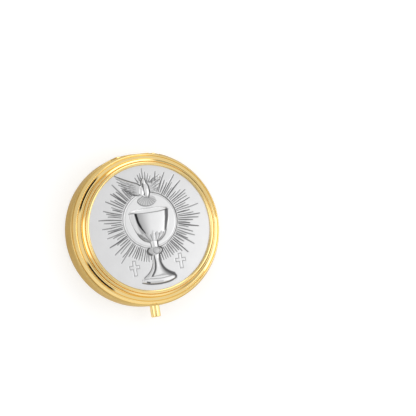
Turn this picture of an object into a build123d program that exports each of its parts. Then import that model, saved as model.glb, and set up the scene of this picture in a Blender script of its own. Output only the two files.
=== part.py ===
"""Pyx: a round, hinged case for communion hosts, with a push-button catch.

Millimetres. The origin is the middle of the base's underside. +Z points out of the lid,
+Y towards the hinge and -Y towards the button. The case is modelled closed.
"""

import os
from math import cos, dist, pi, radians, sin, sqrt, tan

from build123d import *

# Case: the drawn base and the stepped rim of the lid
case_r = 27.0  # outside radius of the side wall
case_wall = 0.8
base_h = 10.4  # underside to the seam
base_floor = 0.8
foot_round = 1.8  # rounded edge under the base
rim_round = 0.5  # rounded outer edge of the base's rim
seam_gap = 0.1  # between the rims of base and lid
skirt_step = 0.55  # the lid's skirt is this much smaller than the base
skirt_h = 1.1  # straight part of the skirt
shoulder_in = 1.3  # crest of the shoulder, inside the case radius
shoulder_h = 2.9  # crest of the shoulder, above the skirt's lower edge
shoulder_round = 1.2
crest_w = 0.3  # narrow flat on the crest
valley_w = 1.3  # round groove between the shoulder's crest and the bezel
valley_depth = 0.5
valley_round = 0.45
plate_h = 2.8  # top of the lid's flat plate, above the skirt's lower edge
plate_t = 0.8
round_bands = 2  # a rounded edge of a turned piece is drawn as this many straight bands

# Inner cup that holds the hosts, the ring that closes its top, and the pan in the lid
latch_room = 2.8  # between case wall and cup, for the catch
cup_wall = 0.6
cup_round = 0.8  # inside corner at the cup's floor
collar_h = 1.2  # the cup stands this far above the base's rim
collar_edge = 0.2  # lead-in for the lid's pan
rim_t = 1.0
liner_gap = 0.35  # between collar and pan
liner_t = 0.5
liner_foot_gap = 0.1  # pan's edge above the skirt's lower edge

# Bezel and medallion
bezel_in = 2.8  # outside of the bezel, inside the case radius
bezel_w = 2.55  # outside of the bezel to the open edge of the picture
bezel_h = 2.9  # above the lid's plate
bezel_foot_h = 0.6  # tapered foot of the bezel
bezel_foot_w = 0.2
step_h = 2.25  # plain step outside the bead, above the plate
step_edge = 0.3
bead_w = 1.2  # raised half-round bead
bead_round = 0.55
groove_w = 0.25  # fine groove between bead and step
groove_depth = 0.35
lip_w = 0.9  # the bead overhangs the medallion's edge by this much
picture_depth = 0.85  # top of the bead down to the medallion's face
medallion_t = 0.9
medallion_gap = 0.05
backing_gap = 0.1

# Raised forms of the medallion, in its own plane: y up the picture
host_r = 10.0
host_y = 2.6
host_h = 0.25
chalice_h = 0.55  # above the medallion's face
relief_edge = 0.2  # softened edges of the raised forms
cup_rim_y = 6.0
cup_rim_half = 7.1
cup_rim_band = 1.0
cup_side_half = 5.5  # half width and height on the cup's rounded side
cup_side_y = -1.6
neck_half = 1.2
neck_y = -5.6
knop_y = -8.2
knop_half = 2.5
knop_h = 3.0
stem_half = 1.05
stem_y = -11.0
foot_half = 6.4
foot_y = -18.2
foot_edge = 1.2
foot_flare_half = 2.4  # half width and height on the foot's hollow flare
foot_flare_y = -15.6

# Hinge, its leaves and barrel flush with a flat on the back of the case
hinge_in = 1.5  # axis, inside the case radius
knuckle_r = 0.6
lid_opening = 110  # degrees
fold_clear = 0.15  # between the edges of lid and base, when the lid is fully open
pin_r = 0.3
pin_clear = 0.03
pin_out = 0.2  # the pin shows this much at each end
pin_edge = 0.1
knuckle_gap = 0.1
leaf_t = 0.5
leaf_drop = 5.4  # base leaf, below the axis
knuckle_room = 0.25  # rim ring, clear of the knuckles

# Push button and catch
button_r = 1.7
button_out = 4.0  # stands this far out of the wall
button_drop = 4.9  # axis, below the base's rim
button_edge = 0.35
button_clear = 0.05
button_travel = 0.9
button_wall = 0.5
button_cap = 1.4
bush_wall = 0.95
catch_t = 0.5
catch_w = 4.0
catch_ring = 0.9  # catch plate around the button
catch_top_gap = 0.1  # top of the catch, below the rim
catch_slot_gap = 0.2  # each side, in the rim ring's slot
catch_gap = 0.15  # between catch and striker
nose_w = 2.6
nose_h = 0.7
nose_land = 0.25  # upright tip of the nose
nose_top_gap = 0.1
nose_reach = 0.6
striker_t = 0.5
striker_w = 4.0
window_gap = 0.15  # round the nose, in the striker's window
striker_bar = 0.6  # bar under the window, which the nose holds down

# Return spring and its seat
spring_wire_r = 0.15
spring_wire_sides = 4  # the wire is drawn four-sided, to keep its faces few
spring_gap = 0.12  # between coil and bore
spring_end_gap = 0.03
spring_turns = 3
seat_gap = 0.1  # flange of the seat, clear of the button's bore
seat_t = 0.3
post_r = 0.5
post_h = 2.6

# Worked out from the sizes above
case_in = case_r - case_wall
cup_r = case_in - latch_room
cup_top = base_h + collar_h
skirt_z = base_h + seam_gap
skirt_r = case_r - skirt_step
plate_z = skirt_z + plate_h
plate_under = plate_z - plate_t
bezel_r = case_r - bezel_in
picture_r = bezel_r - bezel_w
bezel_top = plate_z + bezel_h
picture_z = bezel_top - picture_depth
pan_r = cup_r + liner_gap + liner_t
hinge_y = case_r - hinge_in
hinge_z = base_h + seam_gap / 2
flat_y = hinge_y + knuckle_r
# The barrel is as long as the flat is wide, and the lid's leaf as wide as the flat on the lid.
hinge_half = sqrt(case_r**2 - flat_y**2)
lid_leaf_half = sqrt(skirt_r**2 - flat_y**2)
lid_knuckle_half = hinge_half / 3
# The rims are cut back wherever they lie behind the axis, as far as the open lid needs.
notch_half = sqrt(case_r**2 - hinge_y**2) + knuckle_gap
fold_gap = knuckle_r * tan(radians(lid_opening / 2)) + fold_clear
leaf_z = hinge_z - leaf_drop
leaf_y = flat_y - leaf_t
striker_d = skirt_r - case_wall
catch_d = striker_d - striker_t - catch_gap
catch_in = catch_d - catch_t
button_z = base_h - button_drop
seat_r = button_r - button_wall - seat_gap
button_end = case_r + button_out
bore_end = button_end - button_cap
nose_top = base_h - catch_top_gap - nose_top_gap
nose_z = nose_top - nose_h
far = 2 * case_r  # longer than any cut has to be


def rounded(before, corner, after, radius):
    """Points along the arc of a rounded corner."""
    back = (before - corner).normalized()
    ahead = (after - corner).normalized()
    reach = radius / tan(radians(back.get_angle(ahead) / 2))
    arc = TangentArc(corner + back * reach, corner + ahead * reach, tangent=-back)
    return [arc @ (i / round_bands) for i in range(round_bands + 1)]


def turned(*profile):
    """Solid turned about the Z axis from corners given as radius, height and rounding."""
    corners = [Vector(r, z) for r, z, _ in profile]
    points = []
    for i, (_, _, radius) in enumerate(profile):
        if radius > 0:
            after = corners[(i + 1) % len(corners)]
            points += rounded(corners[i - 1], corners[i], after, radius)
        else:
            points.append(corners[i])
    face = make_face(Polyline(*points, close=True))
    return revolve(Plane.XZ * face, axis=Axis.Z)


def block(x, y, z):
    """Box from its lowest and highest value on each axis."""
    size = (x[1] - x[0], y[1] - y[0], z[1] - z[0])
    middle = ((x[0] + x[1]) / 2, (y[0] + y[1]) / 2, (z[0] + z[1]) / 2)
    return Pos(*middle) * Box(*size)


def rod_along_x(radius, half, y, z):
    """Round rod across the hinge."""
    return Pos(0, y, z) * Rot(0, 90, 0) * Cylinder(radius, 2 * half)


def front_rod(radius, near, far_end):
    """Round rod on the button's axis, between two distances from the middle of the case."""
    middle = Pos(0, -(near + far_end) / 2, button_z)
    return middle * Rot(90, 0, 0) * Cylinder(radius, far_end - near)


def case_cylinder(radius):
    """Everything inside a radius, over the whole height."""
    return Cylinder(radius, far)


def hinge_cut(low, high, inner):
    """Room for the hinge in the back of the wall."""
    return block((-notch_half, notch_half), (inner, far), (low, high))


def back_flat():
    """All that lies behind the flat, which runs out at 45 degrees below the base's leaf."""
    run_out = (far, leaf_z - (far - flat_y))
    side = make_face(Polyline((flat_y, far), (flat_y, leaf_z), run_out, (far, far), close=True))
    return extrude(Plane.YZ * side, far, both=True)


def leaf_block(half, low, high):
    """Flat piece of a hinge leaf, flush with the flat."""
    return block((-half, half), (leaf_y, flat_y), (low, high))


def base_shell():
    shell = turned(
        (0, 0, 0),
        (case_r, 0, foot_round),
        (case_r, base_h, rim_round),
        (case_in, base_h, 0),
        (case_in, base_floor, 0),
        (0, base_floor, 0),
    )
    shell -= back_flat()
    shell -= leaf_block(hinge_half, leaf_z, far)
    shell -= hinge_cut(hinge_z - fold_gap, far, 0)
    return shell - front_rod(button_r + button_clear, cup_r, far)


def inner_cup():
    inside = cup_r - cup_wall
    floor = base_floor + cup_wall
    return turned(
        (0, base_floor, 0),
        (cup_r, base_floor, 0),
        (cup_r, cup_top - collar_edge, 0),
        (cup_r - collar_edge, cup_top, 0),
        (inside, cup_top, 0),
        (inside, floor, cup_round),
        (0, floor, 0),
    )


def rim_ring():
    low = base_h - rim_t
    ring = turned((cup_r, low, 0), (case_in, low, 0), (case_in, base_h, 0), (cup_r, base_h, 0))
    slot_half = catch_w / 2 + catch_slot_gap
    ring -= block((-slot_half, slot_half), (-far, 0), (low, base_h))
    return ring - hinge_cut(low, base_h, hinge_y - knuckle_r - knuckle_room)


def base_hinge_leaf():
    """Plate let into the case wall, with the two outer knuckles."""
    leaf = leaf_block(hinge_half, leaf_z, hinge_z)
    leaf += rod_along_x(knuckle_r, hinge_half, hinge_y, hinge_z)
    middle = lid_knuckle_half + knuckle_gap
    leaf -= block((-middle, middle), (0, far), (hinge_z - fold_gap, far))
    return leaf - rod_along_x(pin_r, far, hinge_y, hinge_z)


def lid_hinge_leaf():
    """Plate let into the lid's skirt, with the middle knuckle."""
    leaf = leaf_block(lid_leaf_half, hinge_z + fold_gap, plate_under)
    leaf += leaf_block(lid_knuckle_half, hinge_z, plate_under)
    leaf += rod_along_x(knuckle_r, lid_knuckle_half, hinge_y, hinge_z)
    return leaf - rod_along_x(pin_r + pin_clear, far, hinge_y, hinge_z)


def hinge_pin():
    pin = rod_along_x(pin_r, hinge_half + pin_out, hinge_y, hinge_z)
    return chamfer(pin.edges().filter_by(GeomType.CIRCLE), pin_edge)


def lid_shell():
    crest_r = case_r - shoulder_in
    crest_z = skirt_z + shoulder_h
    valley_r = crest_r - (valley_w + crest_w) / 2
    shell = turned(
        (0, plate_z, 0),
        (crest_r - valley_w, plate_z, 0),
        (valley_r, plate_z - valley_depth, valley_round),
        (crest_r - crest_w, crest_z, 0),
        (crest_r, crest_z, 0),
        (skirt_r, skirt_z + skirt_h, shoulder_round),
        (skirt_r, skirt_z, 0),
        (skirt_r - case_wall, skirt_z, 0),
        (skirt_r - case_wall, skirt_z + skirt_h, 0),
        (valley_r, plate_under, 0),
        (0, plate_under, 0),
    )
    shell -= back_flat()
    shell -= leaf_block(lid_leaf_half, 0, plate_under)
    return shell - hinge_cut(0, hinge_z + fold_gap, 0)


def lid_liner():
    """Gilt pan inside the lid, closing over the collar."""
    low = skirt_z + liner_foot_gap
    under = plate_under - liner_t
    return turned(
        (0, plate_under, 0),
        (pan_r, plate_under, 0),
        (pan_r, low, 0),
        (pan_r - liner_t, low, 0),
        (pan_r - liner_t, under, 0),
        (0, under, 0),
    )


def bezel_ring():
    seat = picture_r + lip_w
    wall_r = bezel_r - bezel_foot_w
    foot_top = plate_z + bezel_foot_h
    step_z = plate_z + step_h
    bead_out = picture_r + bead_w
    return turned(
        (seat, plate_z, 0),
        (bezel_r, plate_z, 0),
        (wall_r, foot_top, 0),
        (wall_r, step_z - step_edge, 0),
        (wall_r - step_edge, step_z, 0),
        (bead_out + groove_w, step_z, 0),
        (bead_out, step_z - groove_depth, 0),
        (bead_out, bezel_top, bead_round),
        (picture_r, bezel_top, bead_round),
        (picture_r, picture_z, 0),
        (seat, picture_z, 0),
    )


def medallion_backing():
    disc_r = picture_r + lip_w - backing_gap
    top = picture_z - medallion_t
    return turned((0, plate_z, 0), (disc_r, plate_z, 0), (disc_r, top, 0), (0, top, 0))


def chalice_outline():
    """Half of the chalice to the right of its axis, mirrored into one face."""
    band_y = cup_rim_y - cup_rim_band
    knop_top = (neck_half, knop_y + knop_h / 2)
    knop_low = (stem_half, knop_y - knop_h / 2)
    edge_top = (foot_half, foot_y)
    with BuildSketch() as outline:
        with BuildLine():
            Polyline((0, cup_rim_y), (cup_rim_half, cup_rim_y), (cup_rim_half, band_y))
            ThreePointArc((cup_rim_half, band_y), (cup_side_half, cup_side_y), (neck_half, neck_y))
            Line((neck_half, neck_y), knop_top)
            ThreePointArc(knop_top, (knop_half, knop_y), knop_low)
            Line(knop_low, (stem_half, stem_y))
            ThreePointArc((stem_half, stem_y), (foot_flare_half, foot_flare_y), edge_top)
            Polyline(edge_top, (foot_half, foot_y - foot_edge), (0, foot_y - foot_edge), (0, cup_rim_y))
        make_face()
        mirror(about=Plane.YZ)
    return outline.sketch


def medallion():
    """Stamped disc with the host and the chalice raised on its face."""
    disc_r = picture_r + lip_w - medallion_gap
    disc = turned(
        (0, picture_z - medallion_t, 0),
        (disc_r, picture_z - medallion_t, 0),
        (disc_r, picture_z, 0),
        (0, picture_z, 0),
    )
    host = Pos(0, host_y, picture_z + host_h / 2) * Cylinder(host_r, host_h)
    host = chamfer(host.edges().group_by(Axis.Z)[-1], relief_edge)
    chalice = Pos(0, 0, picture_z) * extrude(chalice_outline(), chalice_h)
    chalice = chamfer(chalice.edges().group_by(Axis.Z)[-1], relief_edge)
    return disc + host + chalice


def button_bush():
    """Sleeve on the inside of the wall that guides the button and stops the catch."""
    bush = front_rod(button_r + button_clear + bush_wall, catch_d, case_r)
    bush &= case_cylinder(case_in)
    return bush - front_rod(button_r + button_clear, cup_r, far)


def push_button():
    button = front_rod(button_r, catch_in, button_end)
    button = chamfer(button.edges().group_by(Axis.Y)[0], button_edge)
    return button - front_rod(button_r - button_wall, catch_in, bore_end)


def catch():
    """Plate on the button's inner end, with the nose that holds the lid's striker."""
    half = catch_w / 2
    plate = front_rod(button_r + catch_ring, catch_in, catch_d)
    plate += block((-half, half), (-catch_d, -catch_in), (button_z, base_h - catch_top_gap))
    tip = -catch_d - nose_reach
    with BuildPart() as nose:
        with BuildSketch(Plane.YZ):
            with BuildLine():
                Polyline(
                    (-catch_d, nose_z),
                    (tip, nose_z),
                    (tip, nose_z + nose_land),
                    (-catch_d, nose_top),
                    close=True,
                )
            make_face()
        extrude(amount=nose_w / 2, both=True)
    return plate + nose.part - front_rod(button_r, cup_r, far)


def striker():
    """Tongue on the inside of the lid's skirt, whose lower bar the catch holds down."""
    half = striker_w / 2
    inner = striker_d - striker_t
    low = nose_z - window_gap - striker_bar
    tongue = block((-half, half), (-striker_d, -inner), (low, plate_under))
    window_half = nose_w / 2 + window_gap
    window_z = (nose_z - window_gap, nose_top + window_gap)
    tongue -= block((-window_half, window_half), (-far, 0), window_z)
    return tongue - lid_shell()


def spring_seat():
    """Flanged post on the cup's wall that the return spring stands on."""
    flange = front_rod(seat_r, cup_r - seat_r, cup_r + seat_t)
    post = front_rod(post_r, cup_r, cup_r + seat_t + post_h)
    return flange + post - case_cylinder(cup_r)


def return_spring():
    """Coil in the button's bore: quarter turns, each made of two arcs that meet smoothly."""
    radius = button_r - button_wall - spring_gap - spring_wire_r
    start = cup_r + seat_t + spring_wire_r + spring_end_gap
    length = bore_end - spring_wire_r - spring_end_gap - start
    quarters = 4 * spring_turns
    climb = length / (2 * pi * spring_turns)

    def place(angle):
        return Vector(radius * cos(angle), -start - climb * angle, button_z + radius * sin(angle))

    def heading(angle):
        return Vector(-radius * sin(angle), -climb, radius * cos(angle)).normalized()

    arcs = []
    for quarter in range(quarters):
        a, b = quarter * pi / 2, (quarter + 1) * pi / 2
        step, turn = place(b) - place(a), heading(a) + heading(b)
        bend = 1 - heading(a).dot(heading(b))
        along = step.dot(turn)
        reach = (sqrt(along**2 + 2 * bend * step.dot(step)) - along) / (2 * bend)
        meet = (place(a) + heading(a) * reach + place(b) - heading(b) * reach) * 0.5
        arcs.append(TangentArc(place(a), meet, tangent=heading(a)))
        arcs.append(TangentArc(place(b), meet, tangent=-heading(b)))
    samples = [place(i * pi / 12) for i in range(6 * quarters + 1)]
    gap = min(
        dist(tuple(p), tuple(q))
        for i, p in enumerate(samples)
        for q in samples[i + 12:]
    )
    print("spring: least gap between turns", round(gap - 2 * spring_wire_r, 2), "mm")
    section = Plane(place(0), z_dir=heading(0)) * RegularPolygon(spring_wire_r, spring_wire_sides)
    return sweep(section, path=Wire(arcs))


pieces = [
    base_shell,
    inner_cup,
    rim_ring,
    base_hinge_leaf,
    hinge_pin,
    button_bush,
    spring_seat,
    return_spring,
    push_button,
    catch,
    lid_shell,
    lid_liner,
    lid_hinge_leaf,
    striker,
    bezel_ring,
    medallion_backing,
    medallion,
]

os.makedirs("parts", exist_ok=True)
for piece in pieces:
    export_step(piece(), f"parts/{piece.__name__}.step")
print("button travel", button_travel, "mm, nose clear of the striker when pressed:",
      round(striker_d - striker_t - (catch_d + nose_reach - button_travel), 2), "mm")
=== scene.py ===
"""Looks of the pyx: smooth gilt rims round a stamped silver picture, on a pale floor.

Sizes are in millimetres and are taken from the frame where a solid has them.
"""

from itertools import pairwise
from math import acos, cos, pi, radians, sin, sqrt, tan

import bpy
import numpy as np
from mathutils import Matrix, Vector


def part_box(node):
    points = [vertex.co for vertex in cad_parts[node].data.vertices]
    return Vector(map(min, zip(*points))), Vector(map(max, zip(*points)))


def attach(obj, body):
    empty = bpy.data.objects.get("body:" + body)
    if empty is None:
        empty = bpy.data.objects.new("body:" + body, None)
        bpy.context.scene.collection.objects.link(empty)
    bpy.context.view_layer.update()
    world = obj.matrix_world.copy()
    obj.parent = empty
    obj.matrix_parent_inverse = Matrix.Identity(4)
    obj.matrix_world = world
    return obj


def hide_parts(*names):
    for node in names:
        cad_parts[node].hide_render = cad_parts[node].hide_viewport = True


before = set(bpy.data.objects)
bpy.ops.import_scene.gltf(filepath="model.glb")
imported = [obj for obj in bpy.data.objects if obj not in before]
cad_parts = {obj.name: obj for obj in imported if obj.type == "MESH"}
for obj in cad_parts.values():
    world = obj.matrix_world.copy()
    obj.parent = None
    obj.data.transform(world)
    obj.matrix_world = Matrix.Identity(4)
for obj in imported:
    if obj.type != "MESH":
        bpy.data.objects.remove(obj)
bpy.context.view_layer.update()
mm = 0.001


def box_mm(solid):
    """Lowest and highest corner of a solid, in millimetres."""
    low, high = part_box(solid)
    return low / mm, high / mm


# Sizes that the solids have
_, base_high = box_mm("base_shell")
cup_low, cup_high = box_mm("inner_cup")
ring_low, ring_high = box_mm("rim_ring")
lid_low, lid_high = box_mm("lid_shell")
liner_low, liner_high = box_mm("lid_liner")
bezel_low, bezel_high = box_mm("bezel_ring")
disc_low, disc_high = box_mm("medallion")
button_low, button_high = box_mm("push_button")
pin_low, pin_high = box_mm("hinge_pin")
leaf_low, leaf_high = box_mm("base_hinge_leaf")
_, lid_leaf_high = box_mm("lid_hinge_leaf")
case_r, base_h = base_high.x, base_high.z
cup_r, cup_top = cup_high.x, cup_high.z
skirt_r, skirt_z = lid_high.x, lid_low.z
bezel_r, bezel_top, plate_z = bezel_high.x, bezel_high.z, bezel_low.z
button_r = button_high.x
button_z = (button_low.z + button_high.z) / 2
hinge_y = (pin_low.y + pin_high.y) / 2
hinge_z = (pin_low.z + pin_high.z) / 2
flat_y, leaf_z = leaf_high.y, leaf_low.z

# Walls and edges of the turned pieces
case_wall = 0.8
foot_round = 1.8
rim_round = 0.5
rim_edge = 0.12
skirt_h = 1.1
shoulder_in = 1.3
shoulder_round = 1.2
crest_round = 0.28
crest_lift = 0.2
crest_w = 0.55
valley_depth = 0.16
valley_round = 0.06
dish_w = 0.35
dish_round = 0.8
plate_t = 0.8
cup_wall = 0.6
cup_round = 0.8
soft_edge = 0.15
liner_t = 0.5

# Bezel, from its flared foot to its bead
bezel_w = 2.55
bezel_foot_w = 0.42
bezel_foot_h = 0.5
bezel_foot_round = 0.6
step_h = 2.25
step_round = 0.15
bevel_w = 0.52
bevel_h = 0.38
bead_w = 1.2
bead_round = 0.57
groove_w = 0.25
groove_depth = 0.42
groove_round = 0.05
lip_w = 0.9
picture_depth = 0.85

# Button, hinge and catch
button_edge = 0.35
button_wall = 0.5
button_cap = 1.4
button_clear = 0.05
leaf_t = 0.5
lid_opening = 110
fold_clear = 0.15
knuckle_gap = 0.1
catch_slot = 4.4

# Fineness of the meshes
segments = 288
round_steps = 7
on_axis = 1e-6
sharp_deg = 32
picture_sharp_deg = 60

# Sizes that follow from these
picture_r = bezel_r - bezel_w
picture_z = bezel_top - picture_depth
far = 2 * case_r
notch_half = sqrt(case_r**2 - hinge_y**2) + knuckle_gap
fold_gap = (flat_y - hinge_y) * tan(radians(lid_opening / 2)) + fold_clear

# Camera: the photograph's place over the case, and its lens
view_from = (-116.38, -17.2, 405.0)
view_to = (21.89, 3.87, 15.35)
view_roll_deg = -8.96
view_angle_deg = 20
near_clip = 0.01

# Floor: what it glows with, and how much of that metal sees behind the case and in front of it; the weaker
# glow behind is painted shade in the metal's reflections
floor_half = 2000
floor_grey = 0.55
floor_rough = 0.9
floor_glow = 0.55
mirror_back = 0.45
mirror_front = 0.95
mirror_reach = 40

# Lamp
key_place = (150, -30, 200)
key_size = 100
key_brightness = 1.6

# Room: brightness low down and overhead, and the heights between which it changes
room_low = 0.45
room_high = 0.88
room_rise = (0.1, 0.8)
# Soft boxes and dark gaps of the room: direction, inner and outer angle in degrees, brightness
room_patches = [
    ((0.13, 0.93, 0.33), 16, 24, 2.4),
    ((-0.80, 0.02, 0.60), 13, 22, 1.9),
    ((0.93, -0.15, 0.33), 14, 24, 1.4),
    ((0.20, -0.88, 0.42), 14, 30, 1.05),
    ((-0.12, 0.34, 0.93), 7, 9, 0.02),
    ((-0.13, -0.26, 0.95), 7, 9, 0.02),
]


def smooth(start, end, value):
    """0 before start, 1 after end, and an even bend between them."""
    t = np.clip((value - start) / (end - start), 0, 1)
    return t * t * (3 - 2 * t)


# Meshes


def rounded_outline(corners):
    """Points of an outline whose corners are given as radius, height and rounding."""
    points = []
    for i, (r, z, rounding) in enumerate(corners):
        corner = Vector((r, z))
        if rounding == 0:
            points.append(corner)
            continue
        back = (Vector(corners[i - 1][:2]) - corner).normalized()
        ahead = (Vector(corners[(i + 1) % len(corners)][:2]) - corner).normalized()
        half = acos(back.dot(ahead)) / 2
        middle = corner + (back + ahead).normalized() * (rounding / sin(half))
        start = corner + back * (rounding / tan(half)) - middle
        end = corner + ahead * (rounding / tan(half)) - middle
        sweep = start.angle_signed(end)
        for step in range(round_steps + 1):
            turn = Matrix.Rotation(-sweep * step / round_steps, 2)
            points.append(middle + turn @ start)
    return points


def mesh_piece(name, points, faces):
    """New object from points in millimetres."""
    mesh = bpy.data.meshes.new(name)
    mesh.from_pydata([Vector(p) * mm for p in points], [], faces)
    piece = bpy.data.objects.new(name, mesh)
    bpy.context.scene.collection.objects.link(piece)
    return piece


def finish_shading(piece, angle_deg):
    """Smooth faces, with crisp edges where they meet at more than an angle."""
    piece.data.shade_smooth()
    piece.data.set_sharp_from_angle(angle=radians(angle_deg))


def turned(name, corners):
    """Piece turned about the Z axis. Outline points on the axis close it."""
    outline = rounded_outline(corners)
    points, rings = [], []
    for r, z in outline:
        if r < on_axis:
            rings.append([len(points)] * segments)
            points.append((0, 0, z))
            continue
        rings.append(list(range(len(points), len(points) + segments)))
        for k in range(segments):
            angle = 2 * pi * k / segments
            points.append((r * cos(angle), r * sin(angle), z))
    faces = []
    for low, high in pairwise(rings + rings[:1]):
        if low[0] == low[1] and high[0] == high[1]:
            continue
        for k in range(segments):
            n = (k + 1) % segments
            face = [low[k], low[n], high[n], high[k]]
            faces.append(list(dict.fromkeys(face)))
    return mesh_piece(name, points, faces)


def block(name, x, y, z):
    """Box from its lowest and highest value on each axis, to cut with."""
    points = [(i, j, k) for i in x for j in y for k in z]
    faces = [(0, 1, 3, 2), (4, 6, 7, 5), (0, 4, 5, 1), (2, 3, 7, 6), (0, 2, 6, 4), (1, 5, 7, 3)]
    return mesh_piece(name, points, faces)


def prism(name, half, side):
    """Bar across the case, from its outline in y and z, to cut with."""
    count = len(side)
    points = [(x, y, z) for x in (-half, half) for y, z in side]
    faces = [list(range(count)), list(range(2 * count - 1, count - 1, -1))]
    for k in range(count):
        n = (k + 1) % count
        faces.append((n, k, count + k, count + n))
    return mesh_piece(name, points, faces)


def front_rod(name, corners):
    """Round piece on the button's axis. A corner's height counts outwards from the case's middle."""
    rod = turned(name, corners)
    rod.data.transform(Matrix.Translation((0, 0, button_z * mm)) @ Matrix.Rotation(pi / 2, 4, "X"))
    return rod


def cut(piece, *cutters):
    """Takes the cutters out of the piece."""
    for cutter in cutters:
        step = piece.modifiers.new(cutter.name, "BOOLEAN")
        step.operation = "DIFFERENCE"
        step.solver = "EXACT"
        step.object = cutter
    shaped = piece.evaluated_get(bpy.context.evaluated_depsgraph_get())
    mesh = bpy.data.meshes.new_from_object(shaped)
    piece.modifiers.clear()
    piece.data = mesh
    mesh.name = piece.name
    for cutter in cutters:
        bpy.data.objects.remove(cutter)


def hinge_cut(low, high):
    """Room for the hinge in the back of the wall."""
    return block("hinge_cut", (-notch_half, notch_half), (case_r / 2, far), (low, high))


def back_flat():
    """All behind the flat at the back, which runs out at 45 degrees below the base's leaf."""
    run_out = (far, leaf_z - far + flat_y)
    return prism("back_flat", far, [(flat_y, far), (flat_y, leaf_z), run_out, (far, far)])


def leaf_window(half, low, high):
    """Place of a hinge leaf, flush with the flat."""
    return block("leaf_window", (-half, half), (flat_y - leaf_t, far), (low, high))


def base_case():
    """Satin lower case, with the cut-out for the hinge and the button's hole."""
    inside = case_r - case_wall
    piece = turned("base_case", [
        (0, 0, 0),
        (case_r, 0, foot_round),
        (case_r, base_h, rim_round),
        (inside, base_h, rim_edge),
        (inside, cup_low.z, 0),
        (0, cup_low.z, 0),
    ])
    hole_r = button_r + button_clear
    hole = front_rod("button_hole", [
        (0, cup_r, 0),
        (hole_r, cup_r, 0),
        (hole_r, far, 0),
        (0, far, 0),
    ])
    window = leaf_window(leaf_high.x, leaf_z, far)
    cut(piece, back_flat(), window, hinge_cut(hinge_z - fold_gap, far), hole)
    return piece


def lid_rim():
    """Polished lid with the round shoulder and the groove inside its crest."""
    crest_r = case_r - shoulder_in
    valley_r = crest_r - crest_w
    dish_r = bezel_r + dish_w
    under = plate_z - plate_t
    piece = turned("lid_rim", [
        (0, plate_z, 0),
        (bezel_r, plate_z, 0),
        (dish_r, plate_z, dish_round),
        (valley_r, plate_z - valley_depth, valley_round),
        (crest_r, lid_high.z + crest_lift, crest_round),
        (skirt_r, skirt_z + skirt_h, shoulder_round),
        (skirt_r, skirt_z, rim_edge),
        (skirt_r - case_wall, skirt_z, rim_edge),
        (skirt_r - case_wall, skirt_z + skirt_h, 0),
        (bezel_r, under, 0),
        (0, under, 0),
    ])
    cut(piece, back_flat(), leaf_window(lid_leaf_high.x, 0, under), hinge_cut(0, hinge_z + fold_gap))
    return piece


def bezel():
    """Raised ring: a flared foot, a bevelled step, a fine groove and a half-round bead."""
    seat = picture_r + lip_w
    wall_r = bezel_r - bezel_foot_w
    step_z = plate_z + step_h
    bead_out = picture_r + bead_w
    return turned("bezel", [
        (seat, plate_z, 0),
        (bezel_r, plate_z, 0),
        (wall_r, plate_z + bezel_foot_h, bezel_foot_round),
        (wall_r, step_z - bevel_h, step_round),
        (wall_r - bevel_w, step_z, step_round),
        (bead_out + groove_w, step_z, groove_round),
        (bead_out, step_z - groove_depth, groove_round),
        (bead_out, bezel_top, bead_round),
        (picture_r, bezel_top, bead_round),
        (picture_r, picture_z, 0),
        (seat, picture_z, 0),
    ])


def host_cup():
    """Inner cup with its collar."""
    inside = cup_r - cup_wall
    floor = cup_low.z + cup_wall
    return turned("host_cup", [
        (0, cup_low.z, 0),
        (cup_r, cup_low.z, 0),
        (cup_r, cup_top, soft_edge),
        (inside, cup_top, soft_edge),
        (inside, floor, cup_round),
        (0, floor, 0),
    ])


def inner_rim():
    """Flat ring round the collar, with the slot for the catch and room for the knuckles."""
    piece = turned("inner_rim", [
        (cup_r, ring_low.z, 0),
        (ring_high.x, ring_low.z, 0),
        (ring_high.x, ring_high.z, 0),
        (cup_r, ring_high.z, 0),
    ])
    half = catch_slot / 2
    slot = block("slot", (-half, half), (-far, 0), (0, far))
    back = block("back", (-notch_half, notch_half), (ring_high.y, far), (0, far))
    cut(piece, slot, back)
    return piece


def lid_pan():
    """Gilt pan inside the lid."""
    outside = liner_high.x
    under = liner_high.z - liner_t
    return turned("lid_pan", [
        (0, liner_high.z, 0),
        (outside, liner_high.z, 0),
        (outside, liner_low.z, soft_edge),
        (outside - liner_t, liner_low.z, soft_edge),
        (outside - liner_t, under, soft_edge),
        (0, under, 0),
    ])


def button():
    """Plunger with a softened end and the spring's bore."""
    inner, outer = -button_high.y, -button_low.y
    bore = button_r - button_wall
    return front_rod("button", [
        (0, outer, 0),
        (button_r, outer, button_edge),
        (button_r, inner, 0),
        (bore, inner, 0),
        (bore, outer - button_cap, 0),
        (0, outer - button_cap, 0),
    ])


# The stamped picture, in its own plane: x to the right, y up, from the disc's middle

columns = 1080
rows = 170
tiny = 1e-6
lip_clear = 0.1
outline_reach = 1

# Shares of its half width within which a stroke is deepest, and at which it ends
stroke_core = 0.5
stroke_end = 1.25

# Where a form starts to cover what lies under it and where it hides it, in from its outline
host_fade = (-0.1, 0.15)
bowl_fade = (-0.05, 0.2)
leaf_fade = (-0.05, 0.15)
stem_fade = (-0.05, 0.12)
wing_fade = (-0.1, 0.5)

# Host and the ground round it
host_x = 0.3
host_y = 2.5
host_r = 9.7
host_h = 0.2
# Lines along its edge: distance in from the outline, darkness
host_edges = [(0, 0.6), (0.6, 0.24)]
host_edge_span = (0.06, 0.2)
host_edge_depth = 0.05
host_arc_deg = (84, 60, 36, 12, -12, -36, -60)
ground_dark = 0.07
ray_ground_dark = 0.04
ray_ground_in = 10.5
ray_ground_out = 14.5

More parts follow.
